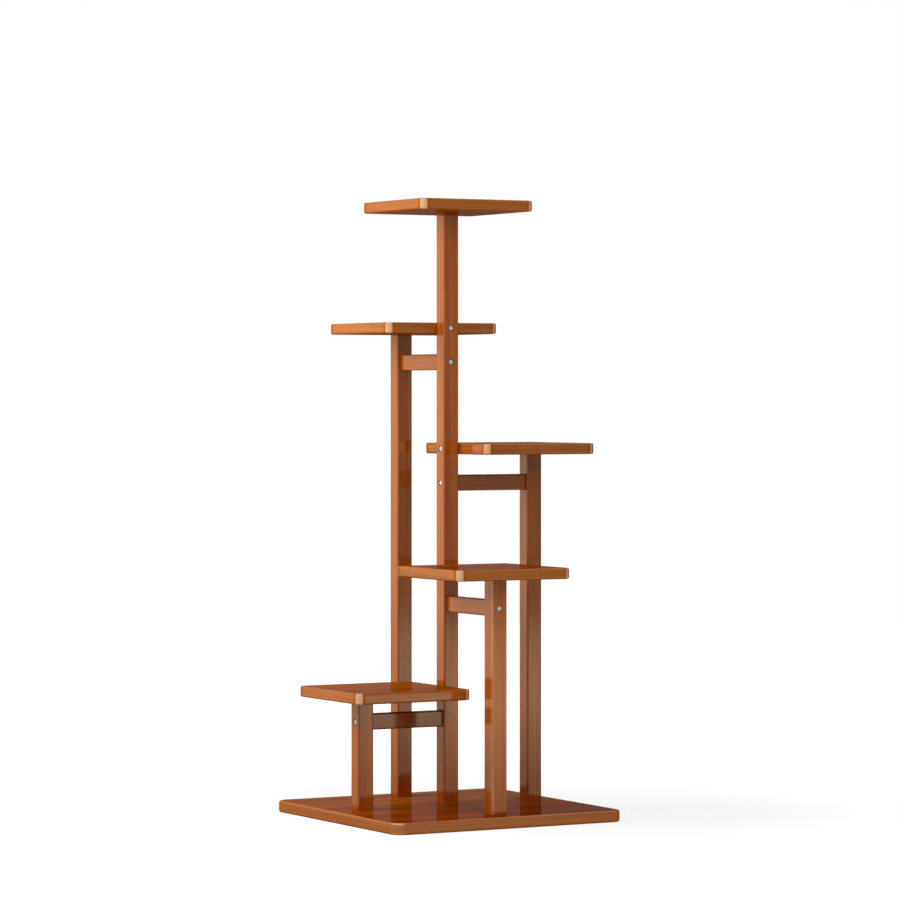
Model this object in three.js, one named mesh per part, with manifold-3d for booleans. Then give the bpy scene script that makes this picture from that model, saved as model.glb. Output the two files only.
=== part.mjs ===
// Five-tier wooden plant stand. Millimetres, +Z up.
//
// The origin is the centre of the base board's underside. A tall centre post stands in the
// middle of the base and carries the top shelf. Four shorter posts stand round it, one on each
// side. Each of those carries a shelf that butts against the centre post, and a short bar under
// the shelf ties the two posts together. Going round the stand the shelves climb like steps.
//
// The photographed front runs along +X and faces -Y.

import * as THREE from "three";
import { mergeVertices } from "three/addons/utils/BufferGeometryUtils.js";
import Module from "manifold-3d";

const wasm = await Module();
wasm.setup();

// ---------------------------------------------------------------- driving dimensions

const baseSide = 400;
const baseThickness = 18;
const baseCornerRadius = 20;

const shelfSide = 197;
const shelfThickness = 17;
const shelfCornerRadius = 9;

// Round on the top and bottom edges of the base and the shelves.
const boardEdgeRadius = 3;

const postSide = 26;
const postEdgeRadius = 2.5;
// Centre of the middle post to the centre of an outer post.
const postSpacing = 150;
// Length of the shortest outer post, which carries the lowest shelf.
const shortestPostLength = 170;
// Rise from each shelf to the next one up.
const tierRise = 188;

const barHeight = 25;
const barThickness = 15;
const barEdgeRadius = 2;
// Clear height between a shelf's underside and the bar below it.
const barDrop = 32;
const lowestBarDrop = 22;

const screwShankRadius = 2;
const screwHeadRadius = 3.6;
const screwHeadHeight = 1.4;
const screwDomeHeight = 0.5;
const screwTipLength = 6;
// How far a screw reaches past the piece under its head, into the piece it holds.
const screwBite = 24;
// Depth of the round pocket that a screw head sits in.
const pocketDepth = 2.2;

// Clearances round a screw.
const headClearance = 0.7;
const shankClearance = 0.4;
const tipClearance = 1;

// Cross recess in a screw head.
const recessLength = 3.6;
const recessWidth = 0.9;
const recessDepth = 1.1;

// How far a cutting tool runs out past the face it cuts.
const cutterOverrun = 1;

// ---------------------------------------------------------------- materials

const wood = new THREE.MeshStandardMaterial({ name: "wood", color: 0x9c5a2e, roughness: 0.3, metalness: 0 });
const steel = new THREE.MeshStandardMaterial({ name: "steel", color: 0xb4bcc0, roughness: 0.3, metalness: 1 });

// ---------------------------------------------------------------- solids and booleans

// A closed solid for joining and cutting, from a geometry whose triangles share no vertices.
function solidFrom(geometry) {
  const bare = geometry.clone();
  bare.deleteAttribute("normal");
  bare.deleteAttribute("uv");
  const merged = mergeVertices(bare, 1e-4);
  const index = merged.index.array;
  const triVerts = [];
  for (let i = 0; i < index.length; i += 3) {
    const [a, b, c] = [index[i], index[i + 1], index[i + 2]];
    if (a !== b && b !== c && c !== a) {
      triVerts.push(a, b, c);
    }
  }
  const vertProperties = new Float32Array(merged.attributes.position.array);
  const mesh = new wasm.Mesh({ numProp: 3, vertProperties, triVerts: new Uint32Array(triVerts) });
  return new wasm.Manifold(mesh);
}

// The geometry of a solid, moved so that origin becomes its own zero point.
function geometryFrom(solid, origin) {
  const mesh = solid.getMesh();
  const geometry = new THREE.BufferGeometry();
  geometry.setAttribute("position", new THREE.BufferAttribute(mesh.vertProperties, 3));
  geometry.setIndex(new THREE.BufferAttribute(mesh.triVerts, 1));
  geometry.translate(-origin.x, -origin.y, -origin.z);
  geometry.computeVertexNormals();
  return geometry;
}

// A named mesh in its group's frame: the blank with the cutters taken out of it.
function piece(name, material, blank, origin, cutters) {
  let solid = solidFrom(blank.translate(origin.x, origin.y, origin.z));
  for (const cutter of cutters) {
    solid = solid.subtract(solidFrom(cutter));
  }
  const mesh = new THREE.Mesh(geometryFrom(solid, origin), material);
  mesh.name = name;
  mesh.position.copy(origin);
  return mesh;
}

// ---------------------------------------------------------------- blanks

// A rectangle with round corners, centred on zero.
function roundedRectangle(width, depth, radius) {
  const [x, y] = [width / 2 - radius, depth / 2 - radius];
  const shape = new THREE.Shape();
  shape.absarc(x, y, radius, 0, Math.PI / 2);
  shape.absarc(-x, y, radius, Math.PI / 2, Math.PI);
  shape.absarc(-x, -y, radius, Math.PI, 1.5 * Math.PI);
  shape.absarc(x, -y, radius, 1.5 * Math.PI, 2 * Math.PI);
  shape.closePath();
  return shape;
}

// A square board with its underside at zero, and all its edges rounded over.
function boardBlank(side, thickness, cornerRadius) {
  const edge = Math.min(boardEdgeRadius, 0.45 * thickness, 0.9 * cornerRadius);
  const geometry = new THREE.ExtrudeGeometry(roundedRectangle(side, side, cornerRadius), {
    depth: thickness - 2 * edge,
    bevelThickness: edge,
    bevelSize: edge,
    bevelOffset: -edge,
    bevelSegments: 3,
    curveSegments: 3,
  });
  return geometry.translate(0, 0, edge);
}

// A square-ended stick along +Z from zero, with its long edges rounded over.
function stickBlank(width, depth, length, edgeRadius) {
  const edge = Math.min(edgeRadius, 0.45 * width, 0.45 * depth);
  const options = { depth: length, bevelEnabled: false, curveSegments: 2 };
  return new THREE.ExtrudeGeometry(roundedRectangle(width, depth, edge), options);
}

// ---------------------------------------------------------------- screws and their holes

const roundSides = 12;
const headSeat = -pocketDepth;

// A turned solid about Z, from [radius, height] points that start and end on the axis.
function turned(profile) {
  const points = profile.map(([radius, height]) => new THREE.Vector2(radius, height));
  return new THREE.LatheGeometry(points, roundSides).rotateX(Math.PI / 2);
}

// Zero is the surface that the screw is driven into, and the screw points along -Z.
function screwSolid(length) {
  const headTop = headSeat + screwHeadHeight;
  const blank = turned([
    [0, headSeat - length],
    [screwShankRadius, headSeat - length + screwTipLength],
    [screwShankRadius, headSeat],
    [screwHeadRadius, headSeat],
    [screwHeadRadius, headTop],
    [0.6 * screwHeadRadius, headTop + 0.7 * screwDomeHeight],
    [0, headTop + screwDomeHeight],
  ]);
  const bars = [
    new THREE.BoxGeometry(recessLength, recessWidth, 2 * recessDepth),
    new THREE.BoxGeometry(recessWidth, recessLength, 2 * recessDepth),
  ];
  let solid = solidFrom(blank);
  for (const bar of bars) {
    solid = solid.subtract(solidFrom(bar.translate(0, 0, headTop + screwDomeHeight)));
  }
  return solid;
}

// The stepped hole for that screw: a pocket for the head, then a hole for the shank.
function screwHole(length) {
  const pocketRadius = screwHeadRadius + headClearance;
  const shankRadius = screwShankRadius + shankClearance;
  return turned([
    [0, headSeat - length - tipClearance],
    [shankRadius, headSeat - length - tipClearance],
    [shankRadius, headSeat],
    [pocketRadius, headSeat],
    [pocketRadius, cutterOverrun],
    [0, cutterOverrun],
  ]);
}

// Turns from -Z to each direction that a screw is driven in.
const driven = {
  down: new THREE.Euler(0, 0, 0),
  up: new THREE.Euler(Math.PI, 0, 0),
  inward: new THREE.Euler(0, Math.PI / 2, 0),
  outward: new THREE.Euler(0, -Math.PI / 2, 0),
};

// A screw through a piece of the given thickness, at a point on its surface, and its hole.
function screw(name, point, direction, thickness) {
  const length = thickness - pocketDepth + screwBite;
  const mesh = new THREE.Mesh(geometryFrom(screwSolid(length), new THREE.Vector3()), steel);
  mesh.name = name;
  mesh.position.copy(point);
  mesh.rotation.copy(driven[direction]);
  mesh.updateMatrix();
  return { mesh, hole: screwHole(length).applyMatrix4(mesh.matrix) };
}

function holes(...screws) {
  return screws.map((each) => each.hole);
}

// ---------------------------------------------------------------- one arm

// An arm is an outer post with its shelf and its bar, drawn along +X and then turned into place.
const postFace = postSide / 2;
const shelfCentre = postFace + shelfSide / 2;

function arm(name, turn, level) {
  const postLength = shortestPostLength + level * tierRise;
  const postTop = baseThickness + postLength;
  const shelfTop = postTop + shelfThickness;
  const shelfMiddle = postTop + shelfThickness / 2;
  const drop = level === 0 ? lowestBarDrop : barDrop;
  const barBottom = postTop - drop - barHeight;
  const barMiddle = barBottom + barHeight / 2;
  const barLength = postSpacing - postSide;
  const outerFace = postSpacing + postFace;

  const at = (x, z) => new THREE.Vector3(x, 0, z);
  const shelfSideScrew = screw(`${name}_shelf_side_screw`, at(-postFace, shelfMiddle), "outward", postSide);
  const shelfTopScrew = screw(`${name}_shelf_top_screw`, at(postSpacing, shelfTop), "down", shelfThickness);
  const barInnerScrew = screw(`${name}_bar_inner_screw`, at(-postFace, barMiddle), "outward", postSide);
  const barOuterScrew = screw(`${name}_bar_outer_screw`, at(outerFace, barMiddle), "inward", postSide);
  const postFootScrew = screw(`${name}_post_foot_screw`, at(postSpacing, 0), "up", baseThickness);

  const post = piece(
    `${name}_post`,
    wood,
    stickBlank(postSide, postSide, postLength, postEdgeRadius),
    at(postSpacing, baseThickness),
    holes(shelfTopScrew, barOuterScrew, postFootScrew),
  );
  const shelf = piece(
    `${name}_shelf`,
    wood,
    boardBlank(shelfSide, shelfThickness, shelfCornerRadius),
    at(shelfCentre, postTop),
    holes(shelfSideScrew, shelfTopScrew),
  );
  const bar = piece(
    `${name}_bar`,
    wood,
    stickBlank(barHeight, barThickness, barLength, barEdgeRadius).rotateY(Math.PI / 2),
    at(postFace, barMiddle),
    holes(barInnerScrew, barOuterScrew),
  );

  const screws = [shelfSideScrew, shelfTopScrew, barInnerScrew, barOuterScrew, postFootScrew];
  const group = new THREE.Group();
  group.add(post, shelf, bar, ...screws.map((each) => each.mesh));
  group.rotation.z = turn;
  group.updateMatrix();

  const turnedHole = (each) => each.hole.clone().applyMatrix4(group.matrix);
  return {
    group,
    centrePostHoles: [turnedHole(shelfSideScrew), turnedHole(barInnerScrew)],
    baseHole: turnedHole(postFootScrew),
  };
}

// ---------------------------------------------------------------- the stand

const arms = [
  arm("left", Math.PI, 0),
  arm("front", -Math.PI / 2, 1),
  arm("right", 0, 2),
  arm("back", Math.PI / 2, 3),
];

const topShelfUnderside = baseThickness + shortestPostLength + arms.length * tierRise;
const centrePostLength = topShelfUnderside - baseThickness;
const standTop = topShelfUnderside + shelfThickness;

const axisPoint = (z) => new THREE.Vector3(0, 0, z);
const topShelfScrew = screw("top_shelf_screw", axisPoint(standTop), "down", shelfThickness);
const centreFootScrew = screw("centre_post_foot_screw", axisPoint(0), "up", baseThickness);

const base = piece(
  "base_board",
  wood,
  boardBlank(baseSide, baseThickness, baseCornerRadius),
  axisPoint(0),
  [...holes(centreFootScrew), ...arms.map((each) => each.baseHole)],
);
const centrePost = piece(
  "centre_post",
  wood,
  stickBlank(postSide, postSide, centrePostLength, postEdgeRadius),
  axisPoint(baseThickness),
  [...holes(topShelfScrew, centreFootScrew), ...arms.flatMap((each) => each.centrePostHoles)],
);
const topShelf = piece(
  "top_shelf",
  wood,
  boardBlank(shelfSide, shelfThickness, shelfCornerRadius),
  axisPoint(topShelfUnderside),
  holes(topShelfScrew),
);

const stand = new THREE.Group();
stand.add(base, centrePost, topShelf, topShelfScrew.mesh, centreFootScrew.mesh);
stand.add(...arms.map((each) => each.group));

export default stand;
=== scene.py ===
"""Tiered plant stand in lacquered wood.

A square base carries a tall centre post with a shelf on top, and four shorter posts round it,
each with a shelf and a tie bar. Run as a script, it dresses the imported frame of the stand: every
board, post, bar and screw is modelled again with fine edges and gets its finish, and the stage
is set with a camera, lamps and a white floor.
"""

import math

import bmesh
import bpy
from bpy.props import FloatProperty, FloatVectorProperty, IntProperty, PointerProperty
from bpy.types import Operator, Panel, PropertyGroup
from mathutils import Matrix, Vector


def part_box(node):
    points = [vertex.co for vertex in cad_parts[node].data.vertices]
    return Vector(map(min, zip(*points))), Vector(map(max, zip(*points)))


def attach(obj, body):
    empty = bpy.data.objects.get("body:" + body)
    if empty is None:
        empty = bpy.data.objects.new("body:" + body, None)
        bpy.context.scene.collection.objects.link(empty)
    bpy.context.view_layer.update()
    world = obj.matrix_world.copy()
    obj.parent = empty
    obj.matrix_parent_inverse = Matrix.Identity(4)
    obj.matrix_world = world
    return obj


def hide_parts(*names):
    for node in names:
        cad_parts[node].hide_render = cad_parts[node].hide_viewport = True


bl_info = {
    "name": "Tiered Plant Stand",
    "version": (1, 0, 0),
    "blender": (4, 5, 0),
    "location": "View3D > Sidebar > Plant Stand",
    "description": "Models and finishes a five-tier wooden plant stand",
    "category": "Add Mesh",
}

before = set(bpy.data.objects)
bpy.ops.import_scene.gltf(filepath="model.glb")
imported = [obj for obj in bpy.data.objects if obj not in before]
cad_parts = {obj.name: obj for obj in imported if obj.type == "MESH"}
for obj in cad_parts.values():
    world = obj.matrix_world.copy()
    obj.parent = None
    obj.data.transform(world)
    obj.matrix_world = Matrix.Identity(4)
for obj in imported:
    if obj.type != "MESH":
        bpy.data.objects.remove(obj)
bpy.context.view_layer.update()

MM = 0.001
BODY = "root"

ARMS = ("left", "front", "right", "back")
SHELVES = tuple(f"{arm}_shelf" for arm in ARMS) + ("top_shelf",)
POSTS = tuple(f"{arm}_post" for arm in ARMS) + ("centre_post",)
BARS = tuple(f"{arm}_bar" for arm in ARMS)
WOODEN = ("base_board",) + SHELVES + POSTS + BARS
SCREWS = tuple(sorted(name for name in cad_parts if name.endswith("_screw")))

# The grain map and the attributes that the wood's material reads.
GRAIN_MAP = "grain"
REGIONS = "regions"
TONE_AND_SHADE = "tone_and_shade"

# How far a corner's painted highlight and painted dark lines may run into the flat sides, as a
# share of the arc's length.
CORNER_MARGIN = 0.4
# How many times as fast the painted highlight on the corners at the right falls off beside the
# front and back.
BASE_FALLOFF = 20
SHELF_FALLOFF = 3.5

SHARP_ANGLE = math.radians(38)
NEAR = 0.001 * MM

# How light or dark each piece's wood is against the others, and a screw hole against its piece:
# partly the wood's own tone, partly painted shade, as on the left bar, the right post and the right
# bar, and in the screw holes.
HOLE_SHADE = 0.3
TONES_AND_SHADE = {
    "top_shelf": 1.04,
    "left_post": 0.93,
    "back_post": 0.92,
    "right_post": 0.68,
    "right_bar": 0.66,
    "left_bar": 0.5,
}


# ---------------------------------------------------------------- settings

class StandSizes(PropertyGroup):
    """Sizes of the details that the frame's plain solids leave to the finished pieces."""

    base_corner_radius: FloatProperty(
        name="Base corner", description="Radius of the base board's four corners",
        default=20 * MM, min=4 * MM, max=60 * MM, unit="LENGTH")
    shelf_corner_radius: FloatProperty(
        name="Shelf corner", description="Radius of each shelf's four corners",
        default=9 * MM, min=4 * MM, max=30 * MM, unit="LENGTH")
    board_edge_radius: FloatProperty(
        name="Board edge", description="Round on the top and bottom edges of the base and shelves",
        default=3 * MM, min=0.5 * MM, max=6 * MM, unit="LENGTH")
    post_edge_radius: FloatProperty(
        name="Post edge", description="Round on the long edges of the posts",
        default=2.5 * MM, min=0.5 * MM, max=8 * MM, unit="LENGTH")
    bar_edge_radius: FloatProperty(
        name="Bar edge", description="Round on the long edges of the tie bars",
        default=2 * MM, min=0.5 * MM, max=5 * MM, unit="LENGTH")
    end_chamfer: FloatProperty(
        name="End chamfer", description="Eased edge at the sawn ends of posts and bars",
        default=0.35 * MM, min=0.05 * MM, max=1 * MM, unit="LENGTH")
    corner_steps: IntProperty(
        name="Corner steps", description="Flats in a board's corner arc",
        default=14, min=4, max=32)
    edge_steps: IntProperty(
        name="Edge steps", description="Flats in an edge round",
        default=5, min=2, max=12)


class ScrewSizes(PropertyGroup):
    """Sizes of the screws and of the pockets that their heads sit in."""

    shank_radius: FloatProperty(
        name="Shank", description="Radius of the shank",
        default=2 * MM, min=1 * MM, max=3 * MM, unit="LENGTH")
    head_radius: FloatProperty(
        name="Head", description="Radius of the head",
        default=3.6 * MM, min=2 * MM, max=4.2 * MM, unit="LENGTH")
    head_height: FloatProperty(
        name="Head height", description="Height of the head's straight side",
        default=1.4 * MM, min=0.5 * MM, max=2 * MM, unit="LENGTH")
    dome_height: FloatProperty(
        name="Dome", description="Height of the dome above the head's side",
        default=0.5 * MM, min=0.1 * MM, max=0.8 * MM, unit="LENGTH")
    tip_length: FloatProperty(
        name="Tip", description="Length of the point",
        default=6 * MM, min=2 * MM, max=10 * MM, unit="LENGTH")
    pocket_depth: FloatProperty(
        name="Pocket depth", description="Depth of the pocket round the head",
        default=2.2 * MM, min=1 * MM, max=4 * MM, unit="LENGTH")
    pocket_radius: FloatProperty(
        name="Pocket radius", description="Radius of the pocket round the head",
        default=4.3 * MM, min=3 * MM, max=6 * MM, unit="LENGTH")
    pocket_rim: FloatProperty(
        name="Pocket rim", description="Width of the broken edge round the pocket",
        default=0.55 * MM, min=0.1 * MM, max=1 * MM, unit="LENGTH")
    hole_radius: FloatProperty(
        name="Hole radius", description="Radius of the hole for the shank",
        default=2.4 * MM, min=1.5 * MM, max=4 * MM, unit="LENGTH")
    recess_length: FloatProperty(
        name="Recess length", description="Length of each slot of the cross recess",
        default=3.8 * MM, min=1 * MM, max=6 * MM, unit="LENGTH")
    recess_width: FloatProperty(
        name="Recess width", description="Width of each slot of the cross recess",
        default=1.2 * MM, min=0.3 * MM, max=2 * MM, unit="LENGTH")
    recess_depth: FloatProperty(
        name="Recess depth", description="Depth of the cross recess",
        default=1.1 * MM, min=0.3 * MM, max=1.3 * MM, unit="LENGTH")


class StandFinish(PropertyGroup):
    """Colours and gloss of the wood and the steel, and the colours of the light and shade painted
    on the wood.
    """

    light_wood: FloatVectorProperty(
        name="Light grain", description="Colour of the pale streaks in the wood",
        default=(0.51, 0.138, 0.01), min=0, max=1, size=3, subtype="COLOR")
    dark_wood: FloatVectorProperty(
        name="Dark grain", description="Colour of the dark streaks in the wood",
        default=(0.27, 0.056, 0.003), min=0, max=1, size=3, subtype="COLOR")
    # Colour of the painted highlight on the corner arcs and on the front post's edge rounds.
    corner_highlight: FloatVectorProperty(
        name="Worn corner", description="Colour where the stain is rubbed thin on a corner",
        default=(0.71, 0.4, 0.215), min=0, max=1, size=3, subtype="COLOR")
    # Colour of the painted dark reflection lines beside the corner arcs.
    corner_dark_reflection: FloatVectorProperty(
        name="Corner line", description="Colour of the stain that gathers beside a corner",
        default=(0.4, 0.09, 0.003), min=0, max=1, size=3, subtype="COLOR")
    stick_tint: FloatVectorProperty(
        name="Stick tint", description="Tint of the wood of the posts and bars",
        default=(1.0, 0.88, 0.6), min=0, max=1, size=3, subtype="COLOR")
    steel: FloatVectorProperty(
        name="Steel", description="Colour of the zinc-plated screws",
        default=(0.76, 0.87, 0.88), min=0, max=1, size=3, subtype="COLOR")
    lacquer: FloatProperty(
        name="Lacquer", description="Share of light that the lacquer mirrors",
        default=0.17, min=0, max=0.3, subtype="FACTOR")
    lacquer_tint: FloatVectorProperty(
        name="Lacquer tint", description="Tint of what the sides mirror",
        default=(1.0, 0.68, 0.44), min=0, max=1, size=3, subtype="COLOR")
    lacquer_roughness: FloatProperty(
        name="Lacquer roughness", description="Blur of what the lacquer mirrors",
        default=0.07, min=0, max=1, subtype="FACTOR")
    top_tint: FloatVectorProperty(
        name="Top lacquer", description="Tint of what the flat tops mirror",
        default=(0.8, 0.45, 0.18), min=0, max=1, size=3, subtype="COLOR")
    # Colour of the painted shade towards the front of the tops of the base and the shelves.
    front_shade: FloatVectorProperty(
        name="Front stain", description="What the stain does to the front of the base's top",
        default=(0.7, 0.4, 0.2), min=0, max=1, size=3, subtype="COLOR")


class StageSettings(PropertyGroup):
    """Camera and light of the stage."""

    heading: FloatProperty(
        name="Heading", description="Turn of the camera from looking along +Y",
        default=math.radians(-29.333), subtype="ANGLE")
    camera_place: FloatVectorProperty(
        name="Camera", description="Place of the camera",
        default=(-3.0045, -5.3551, 0.6567), size=3, subtype="XYZ", unit="LENGTH")
    focal_length: FloatProperty(
        name="Focal length", description="Lens of the camera on a 36 mm sensor, in millimetres",
        default=157.76, min=20, max=400)
    lens_rise: FloatProperty(
        name="Lens rise", description="Vertical shift of the lens, as a share of the sensor",
        default=-0.0615, min=-0.5, max=0.5)
    ambient: FloatProperty(
        name="Ambient", description="Strength of the even light from all round",
        default=0.45, min=0, max=2)
    dim_side: FloatVectorProperty(
        name="Dim side", description="Direction in which the mirrored surroundings are dimmer",
        default=(0.485, -0.875, 0), size=3, subtype="DIRECTION")
    lamp_aim: FloatVectorProperty(
        name="Lamp aim", description="Point that both lamps face",
        default=(0, 0, 0.6), size=3, subtype="XYZ", unit="LENGTH")
    key_place: FloatVectorProperty(
        name="Key place", description="Place of the lamp high at the left",
        default=(-1.3, 0.3, 1.15), size=3, subtype="XYZ", unit="LENGTH")
    key_size: FloatProperty(
        name="Key size", description="Side of the lamp high at the left",
        default=1.0, min=0.1, max=5, unit="LENGTH")
    key_power: FloatProperty(
        name="Key power", description="Power of the lamp high at the left",
        default=22, min=0, max=500, unit="POWER")
    fill_place: FloatVectorProperty(
        name="Fill place", description="Place of the lamp high in front",
        default=(-0.2, -2.35, 1.65), size=3, subtype="XYZ", unit="LENGTH")
    fill_size: FloatProperty(
        name="Fill size", description="Side of the lamp high in front",
        default=1.2, min=0.1, max=5, unit="LENGTH")
    fill_power: FloatProperty(
        name="Fill power", description="Power of the lamp high in front",
        default=20, min=0, max=500, unit="POWER")
    floor_radius: FloatProperty(
        name="Floor radius", description="Radius of the white floor",
        default=5.2, min=2, max=100, unit="LENGTH")


# ---------------------------------------------------------------- shader expressions

class Value:
    """A node's output in an expression. Arithmetic on it adds Math nodes to its tree."""

    def __init__(self, shader, socket):
        self.shader = shader
        self.socket = socket

    def math(self, operation, *others):
        return self.shader.math(operation, self, *others)

    def __add__(self, other):
        return self.math("ADD", other)

    __radd__ = __add__

    def __mul__(self, other):
        return self.math("MULTIPLY", other)

    __rmul__ = __mul__

    def __sub__(self, other):
        return self.math("SUBTRACT", other)

    def __rsub__(self, other):
        return self.shader.math("SUBTRACT", other, self)

    def __truediv__(self, other):
        return self.math("DIVIDE", other)

    def rise(self, low, high):
        """0 below low, 1 above high and smooth between them; the other way round if low > high."""
        settings = {"interpolation_type": "SMOOTHSTEP"}
        if low < high:
            inputs = {"Value": self, "From Min": low, "From Max": high}
            return self.shader.add("ShaderNodeMapRange", settings, inputs)
        inputs = {"Value": self, "From Min": high, "From Max": low, "To Min": 1, "To Max": 0}
        return self.shader.add("ShaderNodeMapRange", settings, inputs)


class Shader:
    """Writes the node tree of a material or a world."""

    def __init__(self, owner):
        owner.use_nodes = True
        self.tree = owner.node_tree
        self.tree.nodes.clear()

    def add(self, kind, settings=None, inputs=None, output=0):
        """Adds a node: its settings first, then values or links for its sockets."""
        node = self.tree.nodes.new(kind)
        for name, value in (settings or {}).items():
            setattr(node, name, value)
        for name, value in (inputs or {}).items():
            socket = node.inputs[name]
            if isinstance(value, Value):
                self.tree.links.new(value.socket, socket)
            else:
                socket.default_value = value
        return Value(self, node.outputs[output]) if node.outputs else None

    def math(self, operation, *values):
        inputs = {number: value for number, value in enumerate(values)}
        return self.add("ShaderNodeMath", {"operation": operation}, inputs)

    def vector(self, x, y, z):
        return self.add("ShaderNodeCombineXYZ", inputs={"X": x, "Y": y, "Z": z})

    def parts(self, vector):
        return [self.add("ShaderNodeSeparateXYZ", inputs={"Vector": vector}, output=axis)
                for axis in range(3)]

    def blend(self, factor, first, second, mode="MIX"):
        """Mixes two colours. Sockets 0, 6 and 7 are the factor and the colours."""
        settings = {"data_type": "RGBA", "blend_type": mode, "clamp_factor": True}
        return self.add("ShaderNodeMix", settings, {0: factor, 6: first, 7: second}, output=2)

    def noise(self, vector, detail=2.0, roughness=0.5):
        inputs = {"Vector": vector, "Scale": 1, "Detail": detail, "Roughness": roughness}
        return self.add("ShaderNodeTexNoise", {"noise_dimensions": "3D"}, inputs)

    def bump(self, height, depth, strength=1.0):
        """Relief whose full height is depth, in metres."""
        inputs = {"Height": height, "Distance": depth, "Strength": strength}
        return self.add("ShaderNodeBump", inputs=inputs)

    def seen(self):
        """1 for rays that show a surface to the eye: straight, mirrored or through glass."""
        ray = "ShaderNodeLightPath"
        straight = self.add(ray, output="Is Camera Ray")
        mirrored = self.add(ray, output="Is Glossy Ray")
        through = self.add(ray, output="Is Transmission Ray")
        return straight.math("MAXIMUM", mirrored).math("MAXIMUM", through)

    def surface(self, shader, kind="ShaderNodeOutputMaterial"):
        self.add(kind, inputs={"Surface": shader})


def rgba(colour, scale=1.0):
    return (*(min(1.0, channel * scale) for channel in colour), 1.0)


# ---------------------------------------------------------------- materials

def lacquered_wood(name, tint=(1.0, 1.0, 1.0), strip_width=0.0, corner_light_strength=1.0, fade=0.0, edge_highlight=0.0,
                  edge_shade=0.0, gloss=1.0, front_shade=0.0):
    """Red-brown stained wood under clear lacquer.

    The grain runs along U of the piece's grain map. The regions attribute says where a corner
    arc, an edge round and a flat top or an underside are, and the attribute of tone and painted
    shade how light the piece is. tint multiplies the colour of the wood. strip_width is the width
    of the glued strips that the flat tops show, corner_light_strength how strong the painted
    highlight and the painted dark lines on the corners are and fade how softly the highlight ends,
    edge_highlight how strong the painted highlight on the edge rounds is and edge_shade how much
    painted shade darkens and dulls them, gloss the share of the finish's lacquer that is left, and
    front_shade how deep the painted shade is at the front of the top.
    """
    finish = bpy.context.scene.stand_finish
    material = bpy.data.materials.new(name)
    sh = Shader(material)

    grain = sh.add("ShaderNodeUVMap", {"uv_map": GRAIN_MAP})
    along, across, _ = sh.parts(grain)
    regions = sh.add("ShaderNodeAttribute", {"attribute_name": REGIONS}, output="Vector")
    corner, edge, up = sh.parts(regions)
    tone_and_shade = sh.add("ShaderNodeAttribute", {"attribute_name": TONE_AND_SHADE}, output="Fac")
    under = (up * -1).rise(0.05, 0.5)

    drift = sh.noise(sh.vector(along * 3.0, across * 9.0, 2.7), 2.0)
    bent = across + (drift - 0.5) * 0.006
    streaks = sh.noise(sh.vector(along * 5.0, bent * 330.0, 0.4), 3.0, 0.62)
    fibres = sh.noise(sh.vector(along * 22.0, bent * 1300.0, 5.1), 2.0, 0.6)
    bands = sh.noise(sh.vector(along * 1.6, bent * 60.0, 9.3), 2.0, 0.5)
    pores = sh.noise(sh.vector(along * 70.0, bent * 1500.0, 3.3), 1.0).rise(0.66, 0.74)

    figure = (streaks * 0.5 + bands * 0.35 + fibres * 0.15).rise(0.27, 0.73)
    colour = sh.blend(figure, rgba(finish.dark_wood), rgba(finish.light_wood))
    colour = sh.blend(pores * 0.3, colour, rgba(finish.dark_wood, 0.7))

    if strip_width:
        strip = (across / strip_width + (drift - 0.5) * 0.15).math("FLOOR")
        draw = sh.add("ShaderNodeTexWhiteNoise", {"noise_dimensions": "1D"}, {"W": strip})
        shade = sh.add("ShaderNodeTexWhiteNoise", {"noise_dimensions": "1D"}, {"W": strip + 40.5})
        warmth = sh.blend(draw, (1.0, 0.92, 0.8, 1), (0.92, 1.0, 1.0, 1))
        depth = sh.blend(shade, (0.72, 0.72, 0.72, 1), (1.0, 1.0, 1.0, 1))
        tinted = sh.blend(1.0, sh.blend(1.0, colour, warmth, "MULTIPLY"), depth, "MULTIPLY")
        colour = sh.blend(up, colour, tinted)
    # Painted shade: the top's colour deepens towards its front.
    if front_shade:
        _, y, _ = sh.parts(sh.add("ShaderNodeTexCoord", output="Object"))
        painted_shade = sh.blend(1.0, colour, rgba(finish.front_shade), "MULTIPLY")
        colour = sh.blend(up * y.rise(0.1, -0.12) * front_shade, colour, painted_shade)

    colour = sh.blend(1.0, colour, rgba(tint), "MULTIPLY")
    colour = sh.blend(1.0, colour, tone_and_shade, "MULTIPLY")
    # Painted shade darkens and dulls the edge rounds.
    painted_shade = edge * edge_shade
    colour = sh.blend(painted_shade, colour, sh.blend(1.0, colour, (0.8, 0.7, 0.7, 1), "MULTIPLY"))
    blotch = sh.noise(sh.vector(along * 11.0, across * 30.0, 7.7), 3.0)
    # Painted highlight on the edge rounds, broken up in blotches.
    painted_edge_highlight = edge * blotch.rise(0.25, 0.6) * edge_highlight

    # A corner's painted highlight strip lies between two painted dark reflection lines.
    painted_side_line = corner.rise(-0.4, -0.3) * corner.rise(0.1, 0.02)
    painted_front_line = corner.rise(0.94, 0.98) * corner.rise(1.32, 1.24)
    painted_highlight = corner.rise(0.02, 0.09 + fade) * corner.rise(0.98, 0.92 - fade)
    # A painted highlight on the edge rounds at a corner, strongest where the corner's own painted
    # highlight is weak.
    rim = edge * (1 - under) * (1 - corner_light_strength)
    pale = sh.blend(corner, rgba(finish.corner_highlight, 0.72), rgba(finish.corner_highlight, 1.18))
    colour = sh.blend(painted_edge_highlight, colour, rgba(finish.corner_highlight))
    colour = sh.blend((painted_side_line + 0.15 * painted_front_line) * (0.8 * corner_light_strength), colour, rgba(finish.corner_dark_reflection))
    colour = sh.blend(painted_highlight * (corner_light_strength + 0.7 * rim) * (0.8 + 0.3 * figure), colour, pale)

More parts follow.
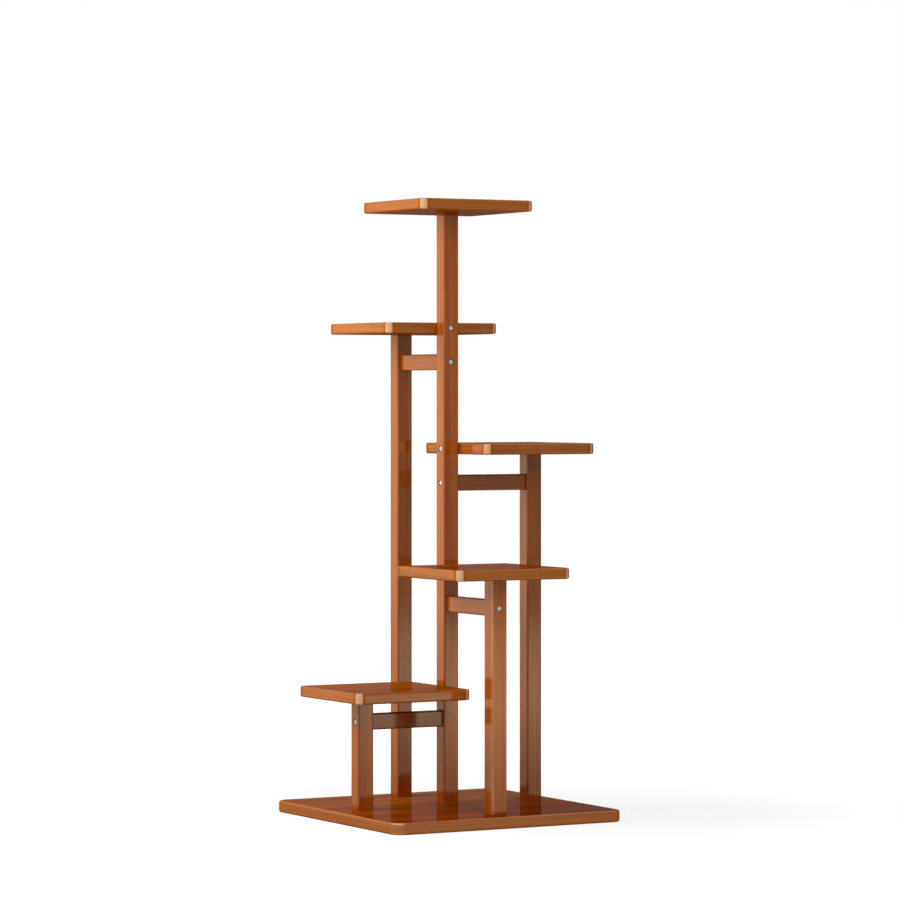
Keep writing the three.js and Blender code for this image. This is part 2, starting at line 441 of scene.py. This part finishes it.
    peel = sh.noise(sh.vector(along * 260.0, across * 260.0, 1.9), 1.0)
    relief = streaks * 0.5 + fibres * 0.5 - pores * 0.6
    wood_normal = sh.bump(relief, 0.05 * MM)
    lacquer_normal = sh.bump(peel * 0.6 + relief * 0.4, 0.006 * MM)
    wood = sh.add("ShaderNodeBsdfPrincipled", inputs={
        "Base Color": colour,
        "Roughness": 0.24 + figure * 0.08 + painted_edge_highlight * 0.4,
        "Specular IOR Level": 0.0,
        "Normal": wood_normal,
    })
    mirror = sh.add("ShaderNodeBsdfPrincipled", inputs={
        "Base Color": sh.blend(up, rgba(finish.lacquer_tint), rgba(finish.top_tint)),
        "Metallic": 1.0,
        "Roughness": finish.lacquer_roughness + blotch * 0.03,
        "Normal": lacquer_normal,
    })

    # Only in a screw hole, darkened by painted shade, is the tone as low as this.
    bored = tone_and_shade.rise(0.42, 0.36)
    # The lacquer mirrors less under the painted corner lines, the painted highlight and the painted
    # edge shade, and in the shaded screw holes.
    dull = (painted_side_line + painted_front_line * 0.75 + painted_highlight * 0.5).math("MINIMUM", 1) * corner_light_strength + 0.6 * painted_shade
    level = (1 - 0.8 * under) * (1 - 0.6 * up.rise(0.5, 1))
    level = level * (1 - dull) * (1 - 0.7 * bored)
    share = (finish.lacquer * gloss) * (1.1 - 0.2 * blotch) * level
    sh.surface(sh.add("ShaderNodeMixShader", inputs={0: share, 1: wood, 2: mirror}))
    return material


def plated_steel():
    """Zinc-plated steel of the screws, brushed a little and dulled in patches."""
    finish = bpy.context.scene.stand_finish
    material = bpy.data.materials.new("plated_steel")
    sh = Shader(material)
    place = sh.add("ShaderNodeTexCoord", output="Object")
    patches = sh.add("ShaderNodeTexNoise", inputs={"Vector": place, "Scale": 900, "Detail": 3})
    scuffs = sh.add("ShaderNodeTexNoise", inputs={"Vector": place, "Scale": 5200, "Detail": 2})
    dull = patches.rise(0.45, 0.7)
    colour = sh.blend(dull, rgba(finish.steel), rgba(finish.steel, 0.72))
    sh.surface(sh.add("ShaderNodeBsdfPrincipled", inputs={
        "Base Color": colour,
        "Metallic": 0.5,
        "Roughness": 0.34 + dull * 0.18 + scuffs * 0.08,
        "Normal": sh.bump(scuffs, 0.02 * MM, 0.6),
    }))
    return material


# ---------------------------------------------------------------- modelling

def box_blank(low, high):
    blank = bmesh.new()
    bmesh.ops.create_cube(blank, size=1)
    bmesh.ops.scale(blank, vec=high - low, verts=blank.verts)
    bmesh.ops.translate(blank, vec=(low + high) / 2, verts=blank.verts)
    return blank


def edges_along(blank, axis):
    """The edges that run along an axis, 0 for X, 1 for Y and 2 for Z."""
    def runs(edge):
        start, end = (vert.co for vert in edge.verts)
        return abs((end - start).normalized()[axis]) > 0.999
    return [edge for edge in blank.edges if runs(edge)]


def edges_at(blank, axis, levels):
    """The edges that lie in one of the planes at the given places along an axis."""
    def lies(edge):
        first, second = (vert.co[axis] for vert in edge.verts)
        return any(abs(first - level) < NEAR and abs(second - level) < NEAR for level in levels)
    return [edge for edge in blank.edges if lies(edge)]


def round_over(blank, edges, radius, steps):
    bmesh.ops.bevel(
        blank, geom=edges, offset=radius, offset_type="OFFSET", affect="EDGES",
        segments=steps, profile=0.5, material=-1, clamp_overlap=True)


def turned(profile, steps):
    """A turned solid about Z, from (radius, height) points that start and end on the axis."""
    solid = bmesh.new()
    points = [solid.verts.new((radius, 0, height)) for radius, height in profile]
    lines = [solid.edges.new(pair) for pair in zip(points, points[1:])]
    bmesh.ops.spin(
        solid, geom=points + lines, cent=(0, 0, 0), axis=(0, 0, 1), dvec=(0, 0, 0),
        angle=math.tau, steps=steps, use_merge=True, use_duplicate=False)
    bmesh.ops.remove_doubles(solid, verts=solid.verts, dist=1e-7)
    bmesh.ops.recalc_face_normals(solid, faces=solid.faces)
    return solid


def new_object(name, solid):
    """Turns a bmesh into an object in the scene, and frees the bmesh."""
    mesh = bpy.data.meshes.new(name)
    solid.to_mesh(mesh)
    solid.free()
    piece = bpy.data.objects.new(name, mesh)
    bpy.context.scene.collection.objects.link(piece)
    return piece


def cut(piece, cutters):
    """Takes the cutters out of the piece and removes them from the scene."""
    for cutter in cutters:
        boolean = piece.modifiers.new("cut", "BOOLEAN")
        boolean.operation = "DIFFERENCE"
        boolean.solver = "EXACT"
        boolean.object = cutter
    depsgraph = bpy.context.evaluated_depsgraph_get()
    finished = bpy.data.meshes.new_from_object(piece.evaluated_get(depsgraph))
    blank = piece.data
    piece.modifiers.clear()
    piece.data = finished
    finished.name = piece.name
    bpy.data.meshes.remove(blank)
    for cutter in cutters:
        mesh = cutter.data
        bpy.data.objects.remove(cutter)
        bpy.data.meshes.remove(mesh)


def shade(piece):
    """Smooth rounds between flat faces that stay flat, and crisp sawn and bored edges."""
    mesh = piece.data
    mesh.shade_smooth()
    mesh.set_sharp_from_angle(angle=SHARP_ANGLE)
    flats = piece.modifiers.new("flats", "WEIGHTED_NORMAL")
    flats.keep_sharp = True
    flats.weight = 100


def finish_piece(piece, node, material):
    """Hands the piece to the frame in place of its node."""
    piece.data.materials.clear()
    piece.data.materials.append(material)
    shade(piece)
    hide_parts(node)
    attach(piece, BODY)


# ---------------------------------------------------------------- screws and their holes

def arm_direction(arm):
    """Unit vector from the centre post to the arm's post."""
    low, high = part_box(f"{arm}_post")
    centre = (low + high) / 2
    return Vector((round(centre.x, 3), round(centre.y, 3), 0)).normalized()


def screw_direction(name):
    """The way that a screw is driven."""
    if name.endswith("foot_screw"):
        return Vector((0, 0, 1))
    if name == "top_shelf_screw" or name.endswith("top_screw"):
        return Vector((0, 0, -1))
    outward = arm_direction(name.split("_")[0])
    return -outward if name.endswith("outer_screw") else outward


def screw_frame(name):
    """The turn and place that carry a screw drawn pointing down from zero onto its node."""
    sizes = bpy.context.scene.screw_sizes
    low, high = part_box(name)
    direction = screw_direction(name)
    reach = abs((high - low).dot(direction))
    length = reach - sizes.head_height - sizes.dome_height
    tip = (low + high) / 2 + direction * reach / 2
    surface = tip - direction * (length + sizes.pocket_depth)
    turn = direction.to_track_quat("-Z", "Y").to_matrix().to_4x4()
    return Matrix.Translation(surface) @ turn, length


def hole_cutter(name):
    """The stepped hole of a screw, with a softly broken rim at the surface."""
    sizes = bpy.context.scene.screw_sizes
    place, length = screw_frame(name)
    beyond = 1 * MM
    bottom = -sizes.pocket_depth - length - beyond
    rim = sizes.pocket_rim
    solid = turned([
        (0, bottom),
        (sizes.hole_radius, bottom),
        (sizes.hole_radius, -sizes.pocket_depth),
        (sizes.pocket_radius, -sizes.pocket_depth),
        (sizes.pocket_radius, -0.6 * rim),
        (sizes.pocket_radius + 0.3 * rim, -0.2 * rim),
        (sizes.pocket_radius + rim, 0),
        (sizes.pocket_radius + rim, beyond),
        (0, beyond),
    ], steps=40)
    bmesh.ops.transform(solid, matrix=place, verts=solid.verts)
    return new_object(f"cutter_{name}", solid)


def overlaps(first, second):
    (low_a, high_a), (low_b, high_b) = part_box(first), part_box(second)
    return all(low_a[i] < high_b[i] and low_b[i] < high_a[i] for i in range(3))


def bore_screw_holes(piece, node):
    cutters = [hole_cutter(name) for name in SCREWS if overlaps(node, name)]
    if cutters:
        cut(piece, cutters)


def screw_blank(length):
    """A screw pointing down, with zero at the wood's surface, before its recess is cut."""
    sizes = bpy.context.scene.screw_sizes
    seat = -sizes.pocket_depth
    top = seat + sizes.head_height
    soft = 0.25 * MM
    dome = [
        (sizes.head_radius * math.cos(turn), top + sizes.dome_height * math.sin(turn))
        for turn in (math.radians(15 * step) for step in range(1, 6))
    ]
    return turned([
        (0, seat - length),
        (0.25 * sizes.shank_radius, seat - length + 0.12 * sizes.tip_length),
        (sizes.shank_radius, seat - length + sizes.tip_length),
        (sizes.shank_radius, seat - soft),
        (sizes.shank_radius + soft, seat),
        (sizes.head_radius - soft, seat),
        (sizes.head_radius, seat + soft),
        (sizes.head_radius, top),
        *dome,
        (0, top + sizes.dome_height),
    ], steps=36)


def recess_cutters():
    """Two crossed slots that narrow towards their bottom."""
    sizes = bpy.context.scene.screw_sizes
    top = -sizes.pocket_depth + sizes.head_height + sizes.dome_height
    slots = []
    for quarter in range(2):
        low = Vector((-sizes.recess_length / 2, -sizes.recess_width / 2, top - sizes.recess_depth))
        high = Vector((sizes.recess_length / 2, sizes.recess_width / 2, top + sizes.recess_depth))
        solid = box_blank(low, high)
        bottom = [vert for vert in solid.verts if vert.co.z < top]
        bmesh.ops.scale(solid, vec=(0.5, 0.75, 1), verts=bottom)
        turn = Matrix.Rotation(math.radians(45 + 90 * quarter), 3, "Z")
        bmesh.ops.rotate(solid, cent=(0, 0, 0), matrix=turn, verts=solid.verts)
        slots.append(new_object(f"cutter_slot_{quarter}", solid))
    return slots


# ---------------------------------------------------------------- wooden pieces

def wrap(first, second, half, facing_first, facing_second):
    """Distance round a square section, from the middle of the face towards -second.

    It carries the grain round the edges of a piece without a break, apart from one at the back.
    """
    if facing_second > 0.98:
        return -first
    if facing_first > 0.02:
        return first + second + half
    if facing_first < -0.02:
        return first - second - half
    return first


def corner_share(point, facing, half, radius, falloff):
    """How far round a board's corner arc a point is: 0 where it faces along X, 1 along Y.

    It runs on into the flat sides for CORNER_MARGIN, as a share of the arc's length. The arcs
    at the right carry the painted highlight only beside the front and the back: their share falls
    off so many times as fast.
    """
    arc = radius * math.pi / 2
    inset = [abs(point[i]) - (half[i] - radius) for i in (0, 1)]
    if max(inset[0], 0) * max(inset[1], 0) > 0 or abs(facing.x * facing.y) > 1e-3:
        share = math.atan2(max(inset[1], 0), max(inset[0], 0)) / (math.pi / 2)
    elif abs(facing.x) > abs(facing.y):
        share = max(min(inset[1], 0) / arc, -CORNER_MARGIN)
    else:
        share = 1 - max(min(inset[0], 0) / arc, -CORNER_MARGIN)
    if point.x > 0 and share < 1:
        share = max(1 - falloff * (1 - share), -0.08)
    return share


def bored_faces(mesh, node):
    """For each face, whether it belongs to the pocket or the hole of a screw."""
    sizes = bpy.context.scene.screw_sizes
    slack = 0.1 * MM
    reach = sizes.pocket_radius + sizes.pocket_rim - sizes.head_radius + slack
    margin = Vector((reach, reach, reach))
    boxes = [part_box(name) for name in SCREWS if overlaps(node, name)]

    def bored(face):
        points = [mesh.vertices[vertex].co for vertex in face.vertices]
        for low, high in boxes:
            inner, outer = low - margin, high + margin
            if all(inner[i] < point[i] < outer[i] for point in points for i in range(3)):
                return True
        return False
    return [bored(face) for face in mesh.polygons]


def map_grain(piece, axis, offset, corner_radius=0.0, falloff=1.0):
    """Writes the grain map, the regions attribute and the attribute of tone and painted shade.

    axis is the grain's direction. A board, whose corner radius is above zero, has its grain
    along X on top and runs it round its sides. The holes of the screws get painted shade, and some
    pieces are painted darker as shade.
    """
    mesh = piece.data
    grain, regions = [], []
    low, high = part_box(piece["stands_for"])
    centre, half = (low + high) / 2, (high - low) / 2
    board = corner_radius > 0
    others = [other for other in range(3) if other != axis]
    for face in mesh.polygons:
        facing = face.normal
        flat = board and abs(facing.z) > 0.7
        if board:
            rounded = 0.05 < abs(facing.z) < 0.97
            up = 1.0 if facing.z > 0.97 else min(facing.z, 0.0)
        else:
            rounded = max(abs(component) for component in facing) < 0.99
            up = 0.0
        for loop in face.loop_indices:
            point = mesh.vertices[mesh.loops[loop].vertex_index].co - centre
            if flat:
                u, v = point.x, point.y + 1.0
            elif board:
                u = wrap(point.x, point.y, half.y, facing.x, facing.y)
                v = point.z
            else:
                first, second = others
                u = point[axis]
                v = wrap(point[first], point[second], half[second], facing[first], facing[second])
            grain += (u + offset[0], v + offset[1])
            on_side = board and abs(facing.z) < 0.95
            share = -1.0
            if on_side:
                share = corner_share(point, facing, half, corner_radius, falloff)
            regions += (share, float(rounded), up)
    mesh.uv_layers.new(name=GRAIN_MAP)
    mesh.attributes.new(REGIONS, "FLOAT_VECTOR", "CORNER")
    mesh.attributes.new(TONE_AND_SHADE, "FLOAT", "FACE")
    mesh.uv_layers[GRAIN_MAP].data.foreach_set("uv", grain)
    mesh.attributes[REGIONS].data.foreach_set("vector", regions)
    tone_and_shade = TONES_AND_SHADE.get(piece["stands_for"], 1.0)
    tones_and_shade = [tone_and_shade * (HOLE_SHADE if bored else 1.0)
             for bored in bored_faces(mesh, piece["stands_for"])]
    mesh.attributes[TONE_AND_SHADE].data.foreach_set("value", tones_and_shade)


def mark_corner_margins(blank, low, high, corner_radius):
    """Cuts the sides beside each corner arc, so that the corner's painted highlight and dark lines
    can end there.
    """
    inset = corner_radius * (1 + CORNER_MARGIN * math.pi / 2)
    for axis in (0, 1):
        for level in (low[axis] + inset, high[axis] - inset):
            normal = Vector((axis == 0, axis == 1, 0))
            everything = list(blank.verts) + list(blank.edges) + list(blank.faces)
            bmesh.ops.bisect_plane(blank, geom=everything, plane_co=normal * level, plane_no=normal)


def grain_offset(name):
    """A different stretch of the grain pattern for each wooden piece."""
    number = WOODEN.index(name)
    return (1.37 * number + 0.21, 0.731 * number)


def make_board(name, corner_radius, falloff, material):
    """A board with rounded corners and edges; falloff is that of corner_share."""
    sizes = bpy.context.scene.stand_sizes
    low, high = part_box(name)
    blank = box_blank(low, high)
    round_over(blank, edges_along(blank, 2), corner_radius, sizes.corner_steps)
    rims = edges_at(blank, 2, (low.z, high.z))
    round_over(blank, rims, sizes.board_edge_radius, sizes.edge_steps)
    mark_corner_margins(blank, low, high, corner_radius)
    piece = new_object(f"{name}_wood", blank)
    piece["stands_for"] = name
    bore_screw_holes(piece, name)
    map_grain(piece, 0, grain_offset(name), corner_radius, falloff)
    finish_piece(piece, name, material)


def make_stick(name, edge_radius, material):
    """A post or a bar: a square stick with its long edges rounded and its ends eased."""
    sizes = bpy.context.scene.stand_sizes
    low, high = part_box(name)
    size = high - low
    axis = max(range(3), key=lambda i: size[i])
    blank = box_blank(low, high)
    round_over(blank, edges_along(blank, axis), edge_radius, sizes.edge_steps)
    round_over(blank, edges_at(blank, axis, (low[axis], high[axis])), sizes.end_chamfer, 2)
    piece = new_object(f"{name}_wood", blank)
    piece["stands_for"] = name
    bore_screw_holes(piece, name)
    map_grain(piece, axis, grain_offset(name))
    finish_piece(piece, name, material)


def make_screw(name, material):
    place, length = screw_frame(name)
    piece = new_object(f"{name}_steel", screw_blank(length))
    cut(piece, recess_cutters())
    piece.data.transform(place)
    finish_piece(piece, name, material)


# ---------------------------------------------------------------- operators

class STAND_OT_base(Operator):
    """Model the base board"""
    bl_idname = "stand.base"
    bl_label = "Base Board"

    def execute(self, context):
        # The base gets a faint painted corner highlight, a painted highlight on its corner rims,
        # and painted shade at the front of its top.
        wood = lacquered_wood(
            "base_wood", strip_width=26 * MM, corner_light_strength=0.08, fade=0.22, gloss=0.75,
            front_shade=1.0)
        radius = context.scene.stand_sizes.base_corner_radius
        make_board("base_board", radius, BASE_FALLOFF, wood)
        return {"FINISHED"}


class STAND_OT_shelves(Operator):
    """Model the five shelves"""
    bl_idname = "stand.shelves"
    bl_label = "Shelves"

    def execute(self, context):
        # The shelves get the painted corner highlights and dark lines, and painted shade at the
        # front of their tops.
        wood = lacquered_wood("shelf_wood", strip_width=34 * MM, gloss=0.8, front_shade=0.6)
        radius = context.scene.stand_sizes.shelf_corner_radius
        for name in SHELVES:
            make_board(name, radius, SHELF_FALLOFF, wood)
        return {"FINISHED"}


class STAND_OT_posts(Operator):
    """Model the centre post and the four outer posts"""
    bl_idname = "stand.posts"
    bl_label = "Posts"

    def execute(self, context):
        tint = context.scene.stand_finish.stick_tint
        radius = context.scene.stand_sizes.post_edge_radius
        # The edge rounds of the other posts get painted shade.
        wood = lacquered_wood("post_wood", tint, edge_shade=0.9)
        # The front post's edge rounds get a painted highlight instead of the painted shade.
        highlit_post_wood = lacquered_wood("post_wood_with_edge_highlight", tint, edge_highlight=0.3)
        for name in POSTS:
            make_stick(name, radius, highlit_post_wood if name == "front_post" else wood)
        return {"FINISHED"}


class STAND_OT_bars(Operator):
    """Model the four tie bars"""
    bl_idname = "stand.bars"
    bl_label = "Tie Bars"

    def execute(self, context):
        tint = context.scene.stand_finish.stick_tint
        radius = context.scene.stand_sizes.bar_edge_radius
        # The bars' edge rounds get painted shade.
        wood = lacquered_wood("bar_wood", tint, edge_shade=0.6)
        for name in BARS:
            make_stick(name, radius, wood)
        return {"FINISHED"}


class STAND_OT_screws(Operator):
    """Model the screws that hold the stand together"""
    bl_idname = "stand.screws"
    bl_label = "Screws"

    def execute(self, context):
        steel = plated_steel()
        for name in SCREWS:
            make_screw(name, steel)
        return {"FINISHED"}


class STAND_OT_stage(Operator):
    """Set the camera, the lamps, the even light and the white floor"""
    bl_idname = "stand.stage"
    bl_label = "Stage"

    def execute(self, context):
        set_camera(context.scene)
        set_lamps(context.scene)
        set_world(context.scene)
        set_floor(context.scene)
        return {"FINISHED"}


# ---------------------------------------------------------------- stage

def set_camera(scene):
    settings = scene.stage_settings
    data = bpy.data.cameras.new("camera")
    data.sensor_width = 36
    data.lens = settings.focal_length
    data.shift_y = settings.lens_rise
    data.clip_end = 200
    camera = bpy.data.objects.new("camera", data)
    camera.location = settings.camera_place
    camera.rotation_euler = (math.radians(90), 0, settings.heading)
    scene.collection.objects.link(camera)
    scene.camera = camera


def add_lamp(scene, name, place, target, size, power):
    """A soft square lamp that neither the camera nor the glossy surfaces show."""
    data = bpy.data.lights.new(name, "AREA")
    data.shape = "SQUARE"
    data.size = size
    data.energy = power
    lamp = bpy.data.objects.new(name, data)
    lamp.location = place
    lamp.rotation_euler = (Vector(target) - Vector(place)).to_track_quat("-Z", "Y").to_euler()
    lamp.visible_camera = False
    lamp.visible_glossy = False
    scene.collection.objects.link(lamp)


def set_lamps(scene):
    stage = scene.stage_settings
    add_lamp(scene, "key", stage.key_place, stage.lamp_aim, stage.key_size, stage.key_power)
    add_lamp(scene, "fill", stage.fill_place, stage.lamp_aim, stage.fill_size, stage.fill_power)


def set_world(scene):
    """Even light, and white surroundings that are dimmer in mirrors towards the front right."""
    world = bpy.data.worlds.new("surroundings")
    scene.world = world
    sh = Shader(world)
    stage = scene.stage_settings
    x, y, z = sh.parts(sh.add("ShaderNodeTexCoord", output="Generated"))
    front_right = (x * stage.dim_side[0] + y * stage.dim_side[1]).rise(0.3, 0.8)
    mirrored = sh.add("ShaderNodeLightPath", output="Is Glossy Ray")
    sides = stage.ambient * (1 - 0.5 * x.rise(0.0, 0.9)) * (1 - 0.4 * z.rise(0.3, 0.9))
    seen = sh.seen()
    dim = (0.74 * front_right).math("MAXIMUM", 0.65 * x.rise(0.6, 0.9))
    strength = sides * (1 - seen) + seen - dim * mirrored
    sky = sh.add("ShaderNodeBackground", inputs={"Color": (1, 1, 1, 1), "Strength": strength})
    sh.surface(sky, "ShaderNodeOutputWorld")


def set_floor(scene):
    """A white floor that is plain white to the eye apart from the stand's soft shadow."""
    disc = bmesh.new()
    bmesh.ops.create_circle(
        disc, cap_ends=True, segments=96, radius=scene.stage_settings.floor_radius)
    floor = new_object("floor", disc)
    material = bpy.data.materials.new("white_floor")
    sh = Shader(material)
    place = sh.add("ShaderNodeTexCoord", output="Object")
    distance = sh.add("ShaderNodeVectorMath", {"operation": "LENGTH"}, {0: place}, output="Value")
    mirrored = sh.add("ShaderNodeLightPath", output="Is Glossy Ray")
    # Seen in mirrors, the floor is painted darker close to the stand, as shade.
    close = distance.rise(2.6, 0.9) * (1 - 0.3 * distance.rise(0.7, 0.4))
    shade = mirrored * (0.27 + 0.4 * close)
    beside = distance.rise(1.2, 0.3)
    paint = sh.add("ShaderNodeBsdfDiffuse", inputs={"Color": (0.6, 0.6, 0.6, 1)})
    pale = sh.add("ShaderNodeBsdfDiffuse", inputs={"Color": (0.3, 0.3, 0.3, 1)})
    glow = sh.add("ShaderNodeEmission", inputs={
        "Color": (1, 1, 1, 1),
        "Strength": 1.0 - 0.24 * beside - shade,
    })
    shown = sh.add("ShaderNodeAddShader", inputs={0: pale, 1: glow})
    sh.surface(sh.add("ShaderNodeMixShader", inputs={0: sh.seen(), 1: paint, 2: shown}))
    floor.data.materials.append(material)


# ---------------------------------------------------------------- panel and registration

PIECE_OPERATORS = (
    STAND_OT_base, STAND_OT_shelves, STAND_OT_posts, STAND_OT_bars, STAND_OT_screws,
    STAND_OT_stage,
)


class STAND_PT_panel(Panel):
    bl_idname = "STAND_PT_panel"
    bl_label = "Plant Stand"
    bl_space_type = "VIEW_3D"
    bl_region_type = "UI"
    bl_category = "Plant Stand"

    def draw(self, context):
        for operator in PIECE_OPERATORS:
            self.layout.operator(operator.bl_idname)


SETTINGS = {
    "stand_sizes": StandSizes,
    "screw_sizes": ScrewSizes,
    "stand_finish": StandFinish,
    "stage_settings": StageSettings,
}


def register():
    for group in SETTINGS.values():
        bpy.utils.register_class(group)
    for name, group in SETTINGS.items():
        setattr(bpy.types.Scene, name, PointerProperty(type=group))
    for operator in PIECE_OPERATORS:
        bpy.utils.register_class(operator)
    bpy.utils.register_class(STAND_PT_panel)


def unregister():
    bpy.utils.unregister_class(STAND_PT_panel)
    for operator in reversed(PIECE_OPERATORS):
        bpy.utils.unregister_class(operator)
    for name, group in SETTINGS.items():
        delattr(bpy.types.Scene, name)
        bpy.utils.unregister_class(group)


def main():
    register()
    bpy.context.scene.view_settings.view_transform = "Standard"
    bpy.ops.stand.base()
    bpy.ops.stand.shelves()
    bpy.ops.stand.posts()
    bpy.ops.stand.bars()
    bpy.ops.stand.screws()
    bpy.ops.stand.stage()


if __name__ == "__main__":
    main()
